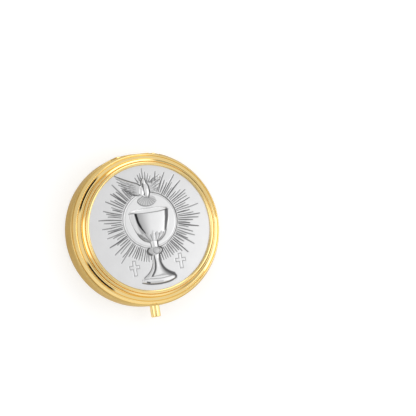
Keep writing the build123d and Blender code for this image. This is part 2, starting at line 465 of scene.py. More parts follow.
# Rays: the ranges are drawn from by chance
ray_seed = 7
ray_count = 100
ray_start = (10.1, 10.4)
ray_spread = 0.24
ray_bend = 0.012
ray_waist = 0.55
long_ray_every = 3
long_ray = (16.4, 18.4)
short_ray = (13.4, 16.4)
low_ray_reach = 14.4
low_ray_sine = -0.78
ray_w = (0.42, 0.62)
ray_root_share = 0.66
ray_tip_w = 0.36
ray_depth = 0.08
ray_dark = (0.64, 0.9)
ray_dark_share = 0.9
ray_root_depth = 0.03
ray_root_end_w = 0.4
behind_dove = (radians(82), radians(114))

# Chalice's bowl
bowl_x = 0.1
bowl_y = 5.5
bowl_half = 7.1
bowl_depth = 10.6
bowl_low = 0.1
bowl_h = 0.38
bowl_taper = 0.4
# Painted shade over the left half of the bowl: how dark, and where it fades out towards the right and
# towards the left edge
bowl_shade = 0.46
bowl_shade_right = (0.1, -0.6)
bowl_shade_left = (-0.8, -0.68)
bowl_rim_edge = 0.25

# Leaves round the bowl
leaf_low = 0.05
leaf_swell = 0.1
leaf_swell_w = 0.8
leaf_dark = 0.26
middle_leaf_x = 0.75
middle_leaf_span = (0.25, 0.55)
middle_leaf_edge = 0.2
middle_leaf_light = 0.9

# Neck, stem and foot
neck_top = -4.8
stem_x = 0.35
stem_top = -9.6
stem_half = 1.15
stem_h = 0.36
# Painted shade down the stem's right and left side, and the share of its length over which it comes in
stem_shade_right = 0.78
stem_right = (0.1, 0.85)
stem_shade_left = 0.12
stem_left = (-0.25, -0.9)
stem_shade_start = 0.25
foot_top = -17.3
foot_half = 6.3
foot_inset = 0.5
foot_overlap = 0.4
foot_bend = 2.8

# Dove's wings: the ranges of the feathers are drawn from by chance
feather_seed = 3
wing_low = 0.08
wing_swell = 0.08
wing_swell_w = 1.2
wing_dark = 0.24
feather_bow = 0.05
feather_start = 0.15
feather_middle = 0.6
feather_w = (0.14, 0.3, 0.32)
feather_depth = 0.05
feather_dark = (0.6, 0.88)
short_feathers = 4
short_along = (0.2, 0.8)
short_aside = (-1.4, 1.4)
short_share = 0.12
short_w = (0.22, 0.34, 0.2)
short_depth = 0.04
short_dark = (0.5, 0.85)

# Dove's tail
tail_x = 0.1
tail_y = 9.6
tail_half = 3.4
tail_drop = 2.1
tail_h = 0.1
tail_dark = 0.3
tail_rim = 0.08
tail_top = (11.2, 10.6)
tail_root = (0.2, 10.9)
tail_feathers = 9
tail_first_deg = 196
tail_turn_deg = 18.5

# Ovals: middle, half width, half height
bowl_rim = (bowl_x, 5.85, 7.25, 0.85)
foot_rim = (stem_x, -18.2, foot_half, 1.35)
knop = (0.3, -8.2, 2.75, 1.5)
tail_fan = (tail_x, 9.35, 3.5, 1.95)
body_halves = [(-1.3, 12.8, 0.95, 1.9), (0.5, 13.1, 1.1, 2.6)]
head = (-0.1, 16.0, 0.75, 1.15)

# Engraved lines, and wide strokes of painted shade: points, width at start, middle and end, depth, darkness

# Left edge of the bowl, a painted dark reflection inside it, and painted shade down the right side
bowl_lines = [
    ([(-7.0, 5.3), (-6.7, 2.8), (-5.9, 0.2), (-4.8, -2.2), (-2.8, -4.4)], (0.2, 0.3, 0.3), 0.1, 0.42),
    ([(-4.7, 5.0), (-4.25, 2.2), (-3.4, 0.1), (-2.2, -1.9)], (1.15, 1.1, 0.25), 0.08, 1),
    ([(6.5, 5.4), (6.2, 3.0), (5.7, 1.0), (5.1, -1.5)], (1.6, 1.4, 1.0), 0.03, 0.86),
]
# Back and front edge of the bowl's rim
rim_lines = [
    ([(-6.8, 6.0), (-3, 6.6), (0.5, 6.75), (4, 6.65), (7.0, 6.15)], (0.14, 0.24, 0.2), 0.05, 0.36),
    ([(-7.1, 5.5), (-3, 5.15), (0.5, 5.1), (4, 5.2), (7.1, 5.6)], (0.3, 0.32, 0.4), 0.06, 0.62),
]
# Lower left and lower right edge of the leaves
leaf_lines = [
    ([(-5.0, -1.6), (-4.2, -3.1), (-2.8, -4.4), (-1.1, -5.1)], (0.3, 0.5, 0.4), 0.06, 0.62),
    ([(5.4, -1.3), (4.6, -3.1), (3.1, -4.5), (1.6, -5.2)], (0.5, 0.5, 0.4), 0.06, 0.68),
]
# Painted shade down the right side of the stem, its fold and left side, then the neck, then painted shade
# in the crease over the foot's rim
stem_lines = [
    ([(1.5, -10.0), (1.7, -12.2), (2.4, -14.2), (3.8, -15.7), (5.9, -16.9)], (0.6, 1.2, 1.2), 0.06, 0.86),
    ([(-0.35, -9.8), (-0.3, -12.5), (-0.8, -14.8), (-2.1, -16.7)], (0.45, 0.85, 0.7), 0.08, 0.86),
    ([(-1.0, -11.4), (-1.7, -13.8), (-3.0, -15.6), (-4.9, -17.0)], (0.2, 0.42, 0.5), 0.05, 0.6),
    ([(1.75, -4.9), (1.65, -5.9), (1.75, -7.0)], (0.6, 0.55, 0.6), 0.08, 0.78),
    ([(-1.1, -4.9), (-0.8, -5.9), (-0.85, -7.0)], (0.45, 0.4, 0.45), 0.06, 0.66),
    ([(0.0, -5.2), (0.05, -6.8)], (0.25, 0.25, 0.25), 0.05, 0.4),
    ([(-2.4, -17.0), (0.6, -17.0), (3.2, -16.6), (5.4, -17.0)], (0.6, 1.3, 1.2), 0.01, 0.44),
]
# Upper and lower edge of the foot's rim, its dark spot and grey band, and its right end
foot_lines = [
    ([(-5.7, -17.6), (-3, -17.5), (0.5, -17.8), (4, -17.5), (6.4, -17.2)], (0.3, 0.35, 0.5), 0.05, 0.5),
    ([(-5.9, -18.6), (-3, -19.35), (0.5, -19.6), (4, -19.25), (6.4, -18.3)], (0.4, 0.65, 0.7), 0.05, 0.78),
    ([(-4.2, -18.5), (-3.3, -18.8)], (0.6, 0.8, 0.6), 0.03, 0.92),
    ([(-3.2, -18.8), (-1.0, -18.95), (1.4, -18.9)], (0.8, 1.0, 0.6), 0.02, 0.26),
    ([(6.1, -17.1), (6.5, -17.8), (6.1, -18.5)], (0.6, 0.9, 0.6), 0.03, 0.84),
]
# Left and right edge of the knop
knop_lines = [
    ([(-1.6, -6.9), (-2.4, -7.8), (-2.3, -8.8), (-1.0, -9.7)], (0.3, 0.55, 0.4), 0.08, 0.78),
    ([(1.7, -6.8), (2.9, -7.4), (2.9, -8.6), (1.6, -9.7)], (0.4, 0.6, 0.45), 0.08, 0.8),
]
# Upper and lower edge of the left wing
wing_lines = [
    ([(-1.2, 14.4), (-2.4, 15.5), (-4.2, 16.2), (-6.8, 17.4), (-9.9, 19.0)], (0.6, 0.6, 0.4), 0.06, 0.8),
    ([(-7.8, 14.3), (-6.0, 12.7), (-4.4, 11.8), (-2.6, 11.4), (-1.4, 12.2)], (0.3, 0.5, 0.45), 0.06, 0.66),
]
# Edge of the dove's tail
tail_edge = [(-1.3, 10.8), (-3.3, 9.5), (-2.2, 8.0), (0, 7.45), (2, 7.8), (3.4, 8.9)]
tail_lines = [(tail_edge, (0.34, 0.42, 0.24), 0.06, 0.64)]
# Line between the halves of the dove's body, its right side, the left side of its neck, and the lower left
body_lines = [
    ([(-0.35, 11.2), (-0.45, 13.2), (-0.5, 15.2)], (0.3, 0.42, 0.42), 0.06, 0.8),
    ([(0.6, 16.9), (0.8, 15.8), (1.4, 14.4), (1.5, 12.2), (1.0, 10.4)], (0.55, 0.6, 0.5), 0.08, 0.82),
    ([(-1.0, 14.9), (-1.0, 16.1), (-0.4, 17.2)], (0.5, 0.55, 0.3), 0.08, 0.76),
    ([(-1.4, 11.2), (-0.9, 10.7), (-0.2, 10.5)], (0.24, 0.36, 0.24), 0.06, 0.6),
]

# Strokes of one kind: width at start, middle and end, depth, darkness
host_arc_stroke = ((0.3, 0.6, 0.3), 0.06, 0.74)
middle_leaf_stroke = ((0.1, 0.1, 0.1), -0.08, 0)
leaf_rib_stroke = ((0.3, 0.34, 0.2), 0.06, 0.66)
knop_leaf_stroke = ((0.2, 0.36, 0.2), 0.08, 0.66)
glory_stroke = ((0.6, 0.5, 0.26), 0.08, 0.7)
tail_stroke = ((0.14, 0.2, 0.3), 0.05, 0.58)
cross_stroke = ((0.34, 0.34, 0.34), 0.05, 0.5)

# Leaves round the bottom of the bowl
calyx = [
    (-5.1, -1.3), (-4.2, -2.1), (-3.1, -1.9), (-2.3, -2.5), (-1.5, -2.0), (-0.5, -2.7), (0.1, -1.7),
    (0.7, -1.1), (1.2, -2.3), (1.9, -1.6), (2.7, -2.4), (3.6, -1.6), (4.3, -2.2), (5.4, -1.1),
    (5.0, -2.4), (4.0, -3.9), (2.3, -4.9), (0.4, -5.3), (-1.4, -5.0), (-3.3, -3.9), (-4.6, -2.5),
]
middle_leaf = [(middle_leaf_x, -1.7), (middle_leaf_x, -3.0), (0.7, -4.6)]
leaf_ribs = [
    ((-4.9, -1.6), (-3.6, -3.1), (-1.6, -4.6)),
    ((-4.2, -2.0), (-2.8, -3.4), (-1.0, -4.7)),
    ((-2.3, -2.4), (-1.6, -3.6), (-0.6, -4.8)),
    ((-0.5, -2.5), (-0.3, -3.7), (0.0, -4.9)),
    ((1.35, -2.1), (1.2, -3.4), (1.0, -4.8)),
    ((2.7, -2.3), (2.3, -3.5), (1.6, -4.8)),
    ((4.3, -2.1), (3.6, -3.3), (2.2, -4.6)),
]
# Leaf of the knop, and the place and side of each
knop_leaf = [(0.3, -7.1), (-0.6, -7.5), (-0.75, -8.3), (-0.1, -9.1), (0.6, -9.3)]
knop_leaves = [(-1.4, 1), (2.0, -1), (0.3, 1), (1.2, -1)]
# Wings: outline, roots of the first and the last feather, tips of the feathers
left_wing = [
    (-1.0, 14.5), (-2.0, 15.6), (-4.0, 16.3), (-6.5, 17.2), (-9.5, 18.8), (-9.0, 17.6), (-8.3, 15.6),
    (-7.4, 14.2), (-6.0, 12.9), (-4.4, 11.9), (-2.6, 11.4), (-1.2, 11.8),
]
left_roots = [(-2.0, 14.0), (-2.6, 11.5)]
left_feathers = [
    (-9.6, 18.2), (-9.4, 17.0), (-9.0, 15.9), (-8.3, 14.7), (-7.4, 13.8), (-6.3, 12.8), (-5.2, 12.1),
]
right_wing = [
    (1.5, 14.3), (2.5, 15.2), (4.0, 16.3), (5.9, 17.4), (6.2, 16.1), (5.8, 14.6), (5.1, 13.3),
    (3.9, 12.3), (2.5, 12.0), (1.7, 12.4),
]
right_roots = [(1.8, 14.8), (2.0, 12.4)]
right_feathers = [(4.2, 17.0), (5.8, 17.8), (6.0, 16.2), (5.7, 14.7), (5.0, 13.3)]
# Strokes of light over the dove: start, end
glory = [
    ((-2.0, 16.0), (-2.9, 17.6)),
    ((-1.3, 16.6), (-1.9, 18.6)),
    ((-0.9, 17.2), (-1.0, 19.0)),
    ((-0.1, 17.0), (-0.1, 20.6)),
    ((0.7, 16.6), (0.9, 19.3)),
    ((1.2, 16.0), (1.9, 18.6)),
    ((1.6, 15.6), (2.7, 17.7)),
    ((2.2, 15.6), (3.7, 17.0)),
]
# Crosses
cross_places = [(-7.8, -12.9), (8.9, -12.5)]
cross_arm = 0.55
cross_bar = 1.75
cross_top = 2.2
cross_low = 2.9


def curve(points, steps=8):
    """Smooth line through a few points."""
    p = np.array([points[0], *points, points[-1]], float)
    line = []
    for a, b, c, d in zip(p, p[1:], p[2:], p[3:]):
        for t in np.arange(steps) / steps:
            bend = (2 * a - 5 * b + 4 * c - d) * t**2 + (3 * b - a - 3 * c + d) * t**3
            line.append(b + ((c - a) * t + bend) / 2)
    return np.array(line + [p[-1]])


def from_segment(x, y, a, b):
    """Share of the way from a to b that lies nearest to each point, and the distance from there."""
    run = b - a
    t = np.clip(((x - a[0]) * run[0] + (y - a[1]) * run[1]) / (run @ run + tiny**2), 0, 1)
    return t, np.hypot(x - a[0] - t * run[0], y - a[1] - t * run[1])


class Relief:
    """Heights of the picture at a set of points, and its darkness: patina in the engraved lines, and
    painted shade and painted reflections on the chalice.
    """

    def __init__(self, x, y):
        self.x, self.y = x, y
        self.height = np.zeros_like(x)
        self.dark = np.zeros_like(x)

    def near(self, line, reach):
        """Which points lie in the box round a line."""
        low, high = line.min(0) - reach, line.max(0) + reach
        return (self.x > low[0]) & (self.x < high[0]) & (self.y > low[1]) & (self.y < high[1])

    def lay(self, cover, height, dark):
        """Puts a form over what is there, where cover is 1."""
        self.height += (height - self.height) * cover
        self.dark += (dark - self.dark) * cover

    def dome(self, oval, edge, low, rise, dark):
        """Bulging oval that starts low over the host. Edge is the share in which it fades in."""
        self.lay(smooth(0, edge, oval), host_h + low + rise * np.sqrt(np.clip(oval, 0, 1)), dark)

    def stroke(self, points, width, depth, dark):
        """Engraved line through the points, given its width at start, middle and end. Some of these strokes
        lay painted shade instead of patina.
        """
        line = np.array(points, float) if len(points) == 2 else curve(points)
        along = np.linspace(0, 1, len(line))
        wide = np.interp(along, (0, 0.5, 1), width) / 2
        near = self.near(line, stroke_end * wide.max())
        x, y = self.x[near], self.y[near]
        best = np.zeros_like(x)
        for (a, b), (wide_a, wide_b) in zip(pairwise(line), pairwise(wide)):
            t, off = from_segment(x, y, a, b)
            half = wide_a + (wide_b - wide_a) * t
            best = np.maximum(best, 1 - smooth(stroke_core * half, stroke_end * half, off))
        self.height[near] -= depth * best
        self.dark[near] = np.maximum(self.dark[near], dark * best)

    def strokes(self, lines):
        """Engraved lines, one after the other."""
        for points, width, depth, dark in lines:
            self.stroke(points, width, depth, dark)

    def inside(self, points):
        """Distance in from a smooth closed outline, negative outside it."""
        line = curve([*points, points[0]])
        near = self.near(line, outline_reach)
        x, y = self.x[near], self.y[near]
        best, crossings = np.full_like(x, far), np.zeros(x.shape, int)
        for a, b in pairwise(line):
            best = np.minimum(best, from_segment(x, y, a, b)[1])
            rise = b[1] - a[1]
            spans = (a[1] > y) != (b[1] > y)
            reach = a[0] + (y - a[1]) * (b[0] - a[0]) / (rise if rise else tiny)
            crossings += spans & (x < reach)
        distance = np.full_like(self.x, -far)
        distance[near] = np.where(crossings % 2 == 1, best, -best)
        return distance

    def oval(self, x, y, half_x, half_y):
        """1 in the middle of an oval, 0 on its edge."""
        return 1 - np.hypot((self.x - x) / half_x, (self.y - y) / half_y)


def add_rays(relief, chance):
    """Long and short strokes round the host, none behind the dove. The lowest stop short of the crosses."""
    away = np.hypot(relief.x - host_x, relief.y - host_y)
    relief.dark = ground_dark + ray_ground_dark * smooth(ray_ground_out, ray_ground_in, away)
    for k in range(ray_count):
        angle = 2 * pi * (k + chance.uniform(-ray_spread, ray_spread)) / ray_count
        reach = chance.uniform(*(long_ray if k % long_ray_every == 0 else short_ray))
        if sin(angle) < low_ray_sine:
            reach = min(reach, low_ray_reach)
        start = chance.uniform(*ray_start)
        bend = chance.uniform(-ray_bend, ray_bend)
        middle = start + ray_waist * (reach - start)
        root, waist, tip = [
            (host_x + r * cos(a), host_y + r * sin(a))
            for r, a in ((start, angle), (middle, angle + bend), (reach, angle))
        ]
        wide = chance.uniform(*ray_w)
        dark = chance.uniform(*ray_dark)
        if behind_dove[0] < angle < behind_dove[1]:
            continue
        root_w = ray_root_share * wide
        relief.stroke([root, waist, tip], (root_w, wide, ray_tip_w), ray_depth, ray_dark_share * dark)
        relief.stroke([root, waist], (root_w, wide, ray_root_end_w), ray_root_depth, dark)


def add_host(relief):
    """Round host with a fine double edge, heavier on the right."""
    inside = host_r - np.hypot(relief.x - host_x, relief.y - host_y)
    relief.lay(smooth(*host_fade, inside), host_h, 0)
    for depth_in, dark in host_edges:
        line = 1 - smooth(*host_edge_span, abs(inside - depth_in))
        relief.height -= host_edge_depth * line
        relief.dark = np.maximum(relief.dark, dark * line)
    arc = [radians(deg) for deg in host_arc_deg]
    edge = [(host_x + host_r * cos(a), host_y + host_r * sin(a)) for a in arc]
    relief.stroke(edge, *host_arc_stroke)


def add_bowl(relief):
    """Bowl of the chalice and its rim, with painted shade over the left half of the bowl, clear of a strip
    along its left edge.
    """
    x, y = relief.x, relief.y
    drop = np.clip((bowl_y - y) / bowl_depth, 0, 1)
    half = bowl_half * np.sqrt(1 - drop**2) + tiny
    across = np.clip((x - bowl_x) / half, -1, 1)
    inside = np.minimum(half - abs(x - bowl_x), bowl_y - y)
    crown = np.sqrt(1 - across**2) * (half / bowl_half) ** bowl_taper
    shade = bowl_shade * smooth(*bowl_shade_right, across) * smooth(*bowl_shade_left, across)
    relief.lay(smooth(*bowl_fade, inside), host_h + bowl_low + bowl_h * crown, shade)
    relief.strokes(bowl_lines)
    rim = relief.oval(*bowl_rim)
    relief.lay(smooth(0, bowl_rim_edge, rim), host_h + bowl_low + bowl_h, 0)
    relief.strokes(rim_lines)


def add_leaves(relief):
    """Calyx of pointed leaves round the bottom of the bowl. The middle one is raised and bright."""
    inside = relief.inside(calyx)
    swell = relief.height + leaf_low + leaf_swell * smooth(0, leaf_swell_w, inside)
    relief.lay(smooth(*leaf_fade, inside), swell, leaf_dark)
    relief.stroke(middle_leaf, *middle_leaf_stroke)
    light = 1 - smooth(*middle_leaf_span, abs(relief.x - middle_leaf_x))
    light *= smooth(0, middle_leaf_edge, inside)
    relief.dark *= 1 - middle_leaf_light * light
    for rib in leaf_ribs:
        relief.stroke(rib, *leaf_rib_stroke)
    relief.strokes(leaf_lines)


def add_stem(relief):
    """Neck, stem and fluted foot, with painted shade down both sides of the stem, far heavier on the right.
    """
    x, y = relief.x, relief.y
    fall = np.clip((stem_top - y) / (stem_top - foot_top), 0, 1)
    half = stem_half + (foot_half - foot_inset - stem_half) * fall**foot_bend
    across = (x - stem_x) / half
    length = np.minimum(neck_top - y, y - foot_top + foot_overlap)
    inside = np.minimum(half - abs(x - stem_x), length)
    crown = np.sqrt(np.clip(1 - across**2, 0, 1))
    right = stem_shade_right * smooth(*stem_right, across)
    left = stem_shade_left * smooth(*stem_left, across)
    shade = (right + left) * smooth(0, stem_shade_start, fall)
    relief.lay(smooth(*stem_fade, inside), host_h + stem_h * crown, shade)
    relief.strokes(stem_lines)
    relief.dome(relief.oval(*foot_rim), edge=0.14, low=0.12, rise=0.25, dark=0)
    relief.strokes(foot_lines)


def add_knop(relief):
    """Knop under the bowl, wrapped in leaves."""
    relief.dome(relief.oval(*knop), edge=0.12, low=0.2, rise=0.3, dark=0.36)
    for leaf_x, turn in knop_leaves:
        loop = [(leaf_x + aside * turn, y) for aside, y in knop_leaf]
        relief.stroke(loop, *knop_leaf_stroke)
    relief.strokes(knop_lines)


def add_wing(relief, outline, feathers, root_top, root_low, chance):
    """Raised wing of long feathers side by side, with short ones over them."""
    inside = relief.inside(outline)
    swell = host_h + wing_low + wing_swell * smooth(0, wing_swell_w, inside)
    relief.lay(smooth(*wing_fade, inside), swell, wing_dark)
    for k, tip in enumerate(feathers):
        root = Vector(root_top).lerp(Vector(root_low), k / (len(feathers) - 1))
        line = Vector(tip) - root
        side = Vector((-line.y, line.x)) * feather_bow
        points = [root + line * feather_start, root + line * feather_middle + side, tip]
        relief.stroke(points, feather_w, feather_depth, chance.uniform(*feather_dark))
        for _ in range(short_feathers):
            begin = root + line * chance.uniform(*short_along) + side * chance.uniform(*short_aside)
            dark = chance.uniform(*short_dark)
            relief.stroke([begin, begin + line * short_share], short_w, short_depth, dark)


def add_dove(relief, chance):
    """Dove with raised wings, strokes of light over it, and a spread tail over the host's edge."""
    for start, end in glory:
        relief.stroke([start, end], *glory_stroke)
    add_wing(relief, left_wing, left_feathers, *left_roots, chance)
    add_wing(relief, right_wing, right_feathers, *right_roots, chance)
    relief.strokes(wing_lines)
    fan = smooth(0, tail_rim, relief.oval(*tail_fan))
    relief.lay(fan * smooth(*tail_top, relief.y), host_h + tail_h, tail_dark)
    for k in range(tail_feathers):
        angle = radians(tail_first_deg + tail_turn_deg * k)
        end = (tail_x + tail_half * cos(angle), tail_y + tail_drop * sin(angle))
        relief.stroke([tail_root, end], *tail_stroke)
    relief.strokes(tail_lines)
    for body_half in body_halves:
        relief.dome(relief.oval(*body_half), edge=0.12, low=0.05, rise=0.45, dark=0)
    relief.dome(relief.oval(*head), edge=0.2, low=0.15, rise=0.25, dark=0.1)
    relief.strokes(body_lines)


def add_crosses(relief):
    """Small outlined cross on each side of the foot."""
    arm, bar, top, low = cross_arm, cross_bar, cross_top, cross_low
    corners = [
        (arm, top), (arm, arm), (bar, arm), (bar, -arm), (arm, -arm), (arm, -low),
        (-arm, -low), (-arm, -arm), (-bar, -arm), (-bar, arm), (-arm, arm), (-arm, top),
    ]
    for x, y in cross_places:
        for a, b in pairwise(corners + corners[:1]):
            ends = [(x + a[0], y + a[1]), (x + b[0], y + b[1])]
            relief.stroke(ends, *cross_stroke)


def picture():
    """Stamped silver disc: a round grid centred on the host, with the relief as its height."""
    disc_r = disc_high.x
    angle = np.linspace(0, 2 * pi, columns, endpoint=False)
    share = np.linspace(0, 1, rows + 1)[1:]
    ahead = host_x * np.cos(angle) + host_y * np.sin(angle)
    reach = np.sqrt(ahead**2 + disc_r**2 - host_x**2 - host_y**2) - ahead
    x = np.outer(share, reach * np.cos(angle)).ravel() + host_x
    y = np.outer(share, reach * np.sin(angle)).ravel() + host_y
    relief = Relief(np.append(x, host_x), np.append(y, host_y))
    add_rays(relief, np.random.default_rng(ray_seed))
    add_host(relief)
    add_bowl(relief)
    add_leaves(relief)
    add_stem(relief)
    add_knop(relief)
    add_dove(relief, np.random.default_rng(feather_seed))
    add_crosses(relief)
    under_lip = np.hypot(relief.x, relief.y) > picture_r - lip_clear
    relief.height[under_lip] = 0
    points = np.stack((relief.x, relief.y, picture_z + relief.height), 1)
    edge = points[(rows - 1) * columns:rows * columns].copy()
    edge[:, 2] = disc_low.z
    middle = len(points) - 1
    points = np.concatenate((points, edge, [(0, 0, disc_low.z)]))
    low = middle + 1
    faces = []
    for k in range(columns):
        n = (k + 1) % columns
        faces.append((middle, k, n))
        for row in range(rows - 1):
            a = row * columns
            faces.append((a + k, a + columns + k, a + columns + n, a + n))
        rim = (rows - 1) * columns
        faces.append((rim + k, low + k, low + n, rim + n))
        faces.append((low + k, len(points) - 1, low + n))
    piece = mesh_piece("picture", points, faces)
    # Darkness of each point, none on the disc's edge and underside: patina in the engraved lines, and
    # painted shade and painted reflections on the chalice
    dark = np.append(relief.dark, np.zeros(columns + 1))
    piece.data.attributes.new("patina_and_painted_shade", "FLOAT", "POINT").data.foreach_set("value", dark)
    return piece


# Materials

# Sizes of the noise, per metre
line_drift = 160
patch_scale = 170
cloud_scale = 260
speck_scale = 5200
fibre_scale = 900

# Colours and finish
worn_span = (0.36, 0.64)
bump_depth = 0.02 * mm
gold_edge = (0.95, 0.82, 0.55)
steel_edge = (0.9, 0.9, 0.9)
silver_dull = (0.80, 0.80, 0.805)
silver_bright = (0.83, 0.83, 0.835)
silver_rough = (0.3, 0.42)
cloud_span = (0.3, 0.7)
speck_span = (0.35, 0.65)
silver_bump = 0.08
# Colour and extra roughness of the patina in the engraved lines and of the painted shade on the chalice
patina_and_shade_colour = (0.03, 0.03, 0.033)
patina_and_shade_rough = 0.15
card_dark = (0.42, 0.36, 0.27)
card_pale = (0.66, 0.58, 0.46)
card_rough = (0.75, 0.95)


def node(tree, kind, inputs=None, **settings):
    """New shader node with its settings, its fixed inputs and its links."""
    made = tree.nodes.new(kind)
    for key, value in settings.items():
        setattr(made, key, value)
    for key, value in (inputs or {}).items():
        if isinstance(value, bpy.types.NodeSocket):
            tree.links.new(value, made.inputs[key])
        else:
            made.inputs[key].default_value = value
    return made


def calc(tree, operation, a, b, c=0.0):
    """Output of a math node. Only MULTIPLY_ADD uses the third value."""
    return node(tree, "ShaderNodeMath", {0: a, 1: b, 2: c}, operation=operation).outputs[0]


def ramp(tree, value, low, high, start=0.0, end=1.0):
    """Value spread evenly between two numbers."""
    inputs = {"Value": value, "From Min": start, "From Max": end, "To Min": low, "To Max": high}
    return node(tree, "ShaderNodeMapRange", inputs).outputs[0]


def noise(tree, place, scale, detail):
    """Value of a noise texture."""
    inputs = {"Vector": place, "Scale": scale, "Detail": detail}
    return node(tree, "ShaderNodeTexNoise", inputs).outputs[0]


def blend(tree, share, a, b):
    """Colour between two colours."""
    made = node(tree, "ShaderNodeMix", data_type="RGBA")
    for name, value in (("Factor_Float", share), ("A_Color", a), ("B_Color", b)):
        socket = next(s for s in made.inputs if s.identifier == name)
        if isinstance(value, bpy.types.NodeSocket):
            tree.links.new(value, socket)
        else:
            socket.default_value = value if name == "Factor_Float" else (*value, 1)
    return next(s for s in made.outputs if s.identifier == "Result_Color")


def turned_grain():
    """Fine lines round the Z axis, and soft patches left by polishing and handling."""
    tree = bpy.data.node_groups.new("turned_grain", "ShaderNodeTree")
    tree.interface.new_socket("Lines per mm", in_out="INPUT", socket_type="NodeSocketFloat")
    tree.interface.new_socket("Lines", in_out="OUTPUT", socket_type="NodeSocketFloat")
    tree.interface.new_socket("Patches", in_out="OUTPUT", socket_type="NodeSocketFloat")
    fine = node(tree, "NodeGroupInput").outputs[0]
    place = node(tree, "ShaderNodeTexCoord").outputs["Object"]
    parts = node(tree, "ShaderNodeSeparateXYZ", {0: place}).outputs
    flat = node(tree, "ShaderNodeCombineXYZ", {0: parts[0], 1: parts[1]}).outputs[0]
    radius = node(tree, "ShaderNodeVectorMath", {0: flat}, operation="LENGTH").outputs["Value"]
    per_metre = calc(tree, "DIVIDE", fine, mm)
    across = calc(tree, "MULTIPLY", radius, per_metre)
    up = calc(tree, "MULTIPLY", parts[2], per_metre)
    slow_x = calc(tree, "MULTIPLY", parts[0], line_drift)
    slow_y = calc(tree, "MULTIPLY", parts[1], line_drift)
    spot = node(tree, "ShaderNodeCombineXYZ", {0: across, 1: up, 2: slow_x}).outputs[0]
    along = {"Vector": spot, "W": slow_y, "Scale": 1, "Detail": 3}
    lines = node(tree, "ShaderNodeTexNoise", along, noise_dimensions="4D")
    patches = noise(tree, place, patch_scale, detail=4)
    node(tree, "NodeGroupOutput", {"Lines": lines.outputs[0], "Patches": patches})
    return tree


grain_group = turned_grain()


def metal(name, dull, bright, edge, roughness, lines_per_mm, bump):
    """Plated or machined metal with turning lines. Colours and roughness run from dull to bright."""
    material = bpy.data.materials.new(name)
    material.use_nodes = True
    tree = material.node_tree
    shader = tree.nodes["Principled BSDF"]
    shader.inputs["Metallic"].default_value = 1
    shader.inputs["Specular Tint"].default_value = (*edge, 1)
    grain = node(tree, "ShaderNodeGroup", node_tree=grain_group)
    grain.inputs[0].default_value = lines_per_mm
    lines, patches = grain.outputs
    worn = calc(tree, "MULTIPLY_ADD", lines, 0.5, calc(tree, "MULTIPLY", patches, 0.5))
    share = ramp(tree, worn, 0, 1, *worn_span)
    tree.links.new(blend(tree, share, dull, bright), shader.inputs["Base Color"])
    tree.links.new(ramp(tree, worn, *roughness, *worn_span), shader.inputs["Roughness"])
    raised = node(tree, "ShaderNodeBump", {"Height": lines, "Strength": bump, "Distance": bump_depth})
    tree.links.new(raised.outputs[0], shader.inputs["Normal"])
    return material


def silver():
    """Satin silver with a fine speckle, darker and duller where the picture has patina in its engraved
    lines and painted shade on the chalice.
    """
    material = bpy.data.materials.new("stamped_silver")
    material.use_nodes = True
    tree = material.node_tree
    shader = tree.nodes["Principled BSDF"]
    shader.inputs["Metallic"].default_value = 1
    patina_and_painted_shade = node(tree, "ShaderNodeAttribute", attribute_name="patina_and_painted_shade").outputs["Fac"]
    place = node(tree, "ShaderNodeTexCoord").outputs["Object"]
    cloud = noise(tree, place, cloud_scale, detail=5)
    speck = noise(tree, place, speck_scale, detail=2)
    field = blend(tree, ramp(tree, cloud, 0, 1, *cloud_span), silver_dull, silver_bright)
    tree.links.new(blend(tree, patina_and_painted_shade, field, patina_and_shade_colour), shader.inputs["Base Color"])
    satin = ramp(tree, speck, *silver_rough, *speck_span)
    tree.links.new(calc(tree, "MULTIPLY_ADD", patina_and_painted_shade, patina_and_shade_rough, satin), shader.inputs["Roughness"])
    speckle = {"Height": speck, "Strength": silver_bump, "Distance": bump_depth}
    raised = node(tree, "ShaderNodeBump", speckle)
    tree.links.new(raised.outputs[0], shader.inputs["Normal"])
    return material


def card():
    """Grey-brown packing card with fibres."""
    material = bpy.data.materials.new("packing_card")
    material.use_nodes = True
    tree = material.node_tree
    shader = tree.nodes["Principled BSDF"]
    place = node(tree, "ShaderNodeTexCoord").outputs["Object"]
    fibre = noise(tree, place, fibre_scale, detail=6)
    tree.links.new(blend(tree, fibre, card_dark, card_pale), shader.inputs["Base Color"])
    tree.links.new(ramp(tree, fibre, *card_rough), shader.inputs["Roughness"])
    return material


satin_gilt = metal(
    "satin_gilt",
    dull=(0.66, 0.46, 0.17),
    bright=(0.76, 0.55, 0.22),
    edge=gold_edge,
    roughness=(0.36, 0.26),
    lines_per_mm=4,
    bump=0.25,
)
polished_gilt = metal(
    "polished_gilt",
    dull=(0.93, 0.69, 0.29),
    bright=(0.96, 0.73, 0.33),
    edge=gold_edge,
    roughness=(0.05, 0.03),
    lines_per_mm=6,
    bump=0.006,
)
gilt_lining = metal(
    "gilt_lining",
    dull=(0.82, 0.60, 0.25),
    bright=(0.92, 0.70, 0.33),
    edge=gold_edge,
    roughness=(0.22, 0.14),
    lines_per_mm=5,
    bump=0.1,
)
plain_brass = metal(
    "plain_brass",
    dull=(0.60, 0.45, 0.20),
    bright=(0.74, 0.58, 0.29),
    edge=gold_edge,
    roughness=(0.38, 0.24),
    lines_per_mm=4,
    bump=0.15,
)
spring_steel = metal(
    "spring_steel",
    dull=(0.42, 0.42, 0.43),
    bright=(0.60, 0.60, 0.61),
    edge=steel_edge,
    roughness=(0.35, 0.22),
    lines_per_mm=5,
    bump=0.1,
)
stamped_silver = silver()
packing_card = card()

